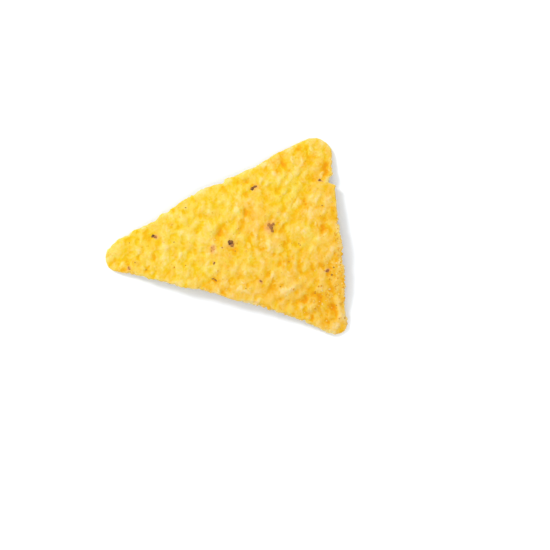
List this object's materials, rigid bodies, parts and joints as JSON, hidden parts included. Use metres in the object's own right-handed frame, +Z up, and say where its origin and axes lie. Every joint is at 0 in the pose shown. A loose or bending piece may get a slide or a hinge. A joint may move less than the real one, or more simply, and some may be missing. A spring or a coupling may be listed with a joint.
{
  "type": "triangular corn tortilla chip",
  "caption": "Single fried corn tortilla chip: a thin, gently arched triangle with rounded corners, a crusty blistered skin and dark specks of corn hull.",
  "frame": {"origin": "centre of the chip's outline seen from above, at the height of the surface that its three corners rest on", "axes": "+X from the narrow tip to the wide base along the chip's length, +Y towards the blunter base corner, +Z up out of the arched top side"},
  "size_m": [0.0592, 0.05, 0.0062],
  "materials": {
    "fried_corn": "dull, crusty, slightly oily fried corn dough"
  },
  "bodies": {
    "root": {"chip": "fried_corn"}
  },
  "joints": []
}
